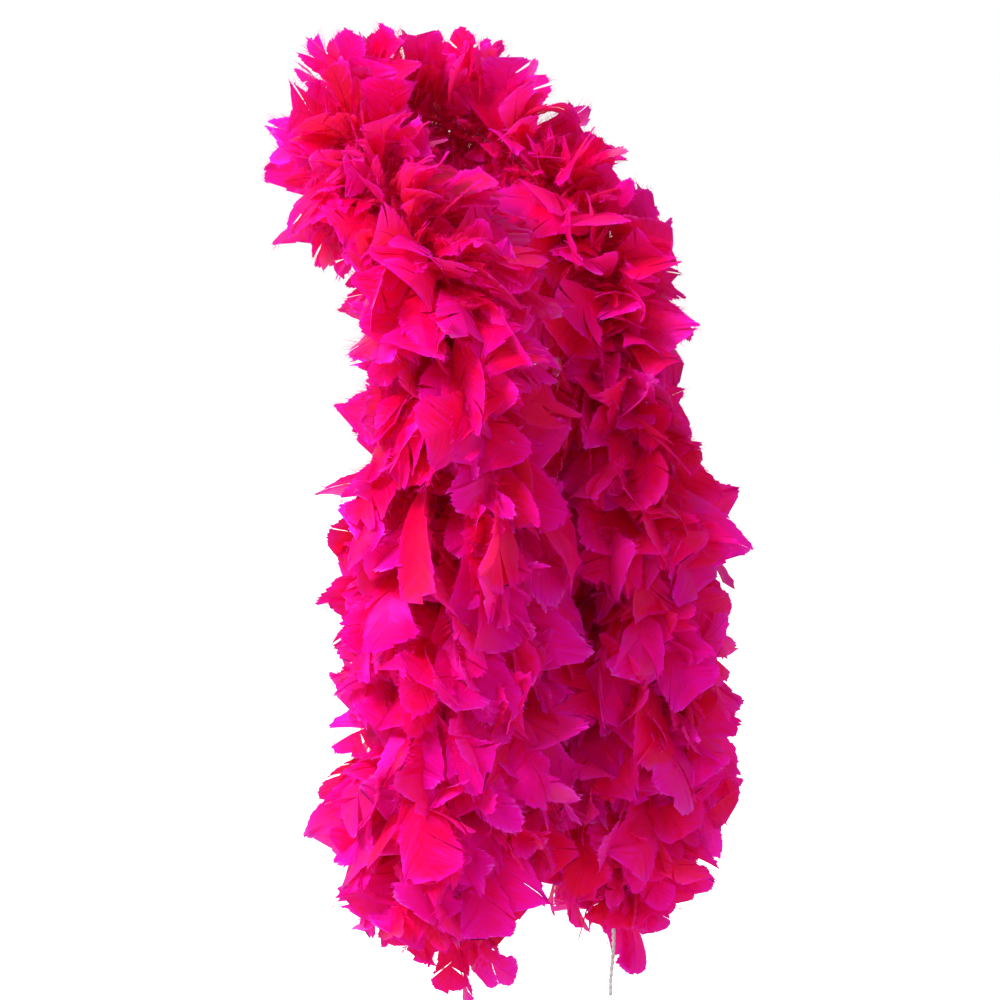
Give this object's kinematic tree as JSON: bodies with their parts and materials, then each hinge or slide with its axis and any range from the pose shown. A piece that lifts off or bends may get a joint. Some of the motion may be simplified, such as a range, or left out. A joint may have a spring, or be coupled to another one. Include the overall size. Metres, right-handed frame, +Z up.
{
  "type": "feather boa",
  "caption": "Long rope of broad flat feathers on a twisted string, worn round the neck with both ends hanging down the front",
  "frame": {"origin": "middle of the wearer's neck, at the height of the string behind it", "axes": "+Z up; the wearer faces -Y, so the wearer's right side is -X; the falls hang along -Z"},
  "size_m": [0.4454, 0.4236, 0.9973],
  "materials": {
    "feather": "dyed feather, soft satin sheen",
    "string": "undyed twisted cotton",
    "binding_thread": "dyed thread, matt"
  },
  "bodies": {
    "neck_loop": {"string_neck": "string", "ruff_neck_1": "feather", "ruff_neck_2": "feather", "ruff_neck_3": "feather", "ruff_neck_4": "feather", "ruff_neck_5": "feather", "ruff_neck_6": "feather", "ruff_neck_7": "feather", "ruff_neck_8": "feather", "ruff_neck_9": "feather", "ruff_neck_10": "feather", "ruff_neck_11": "feather", "ruff_neck_12": "feather", "ruff_neck_13": "feather"},
    "right_upper": {"string_right_upper": "string", "ruff_right_upper_1": "feather", "ruff_right_upper_2": "feather", "ruff_right_upper_3": "feather"},
    "right_middle": {"string_right_middle": "string", "ruff_right_middle_1": "feather", "ruff_right_middle_2": "feather", "ruff_right_middle_3": "feather"},
    "right_lower": {"string_right_lower": "string", "ruff_right_lower_1": "feather", "ruff_right_lower_2": "feather", "ruff_right_lower_3": "feather", "binding_right": "binding_thread", "knot_right": "string", "tail_right": "string"},
    "left_upper": {"string_left_upper": "string", "ruff_left_upper_1": "feather", "ruff_left_upper_2": "feather", "ruff_left_upper_3": "feather"},
    "left_middle": {"string_left_middle": "string", "ruff_left_middle_1": "feather", "ruff_left_middle_2": "feather", "ruff_left_middle_3": "feather"},
    "left_lower": {"string_left_lower": "string", "ruff_left_lower_1": "feather", "ruff_left_lower_2": "feather", "ruff_left_lower_3": "feather", "binding_left": "binding_thread", "knot_left": "string", "tail_left": "string"}
  },
  "joints": [
    {"name": "right_upper_swing", "type": "hinge", "parent": "neck_loop", "child": "right_upper", "pos_m": [-0.112, -0.15, -0.205], "axis": [1, 0, 0], "range_deg": [-40, 20]},
    {"name": "right_middle_swing", "type": "hinge", "parent": "right_upper", "child": "right_middle", "pos_m": [-0.112, -0.15, -0.4], "axis": [0, 1, 0], "range_deg": [0, 30]},
    {"name": "right_lower_swing", "type": "hinge", "parent": "right_middle", "child": "right_lower", "pos_m": [-0.112, -0.15, -0.595], "axis": [1, 0, 0], "range_deg": [-30, 30]},
    {"name": "left_upper_swing", "type": "hinge", "parent": "neck_loop", "child": "left_upper", "pos_m": [0.112, -0.15, -0.205], "axis": [1, 0, 0], "range_deg": [-40, 20]},
    {"name": "left_middle_swing", "type": "hinge", "parent": "left_upper", "child": "left_middle", "pos_m": [0.112, -0.15, -0.4], "axis": [0, 1, 0], "range_deg": [-30, 0]},
    {"name": "left_lower_swing", "type": "hinge", "parent": "left_middle", "child": "left_lower", "pos_m": [0.112, -0.15, -0.595], "axis": [1, 0, 0], "range_deg": [-30, 30]}
  ]
}
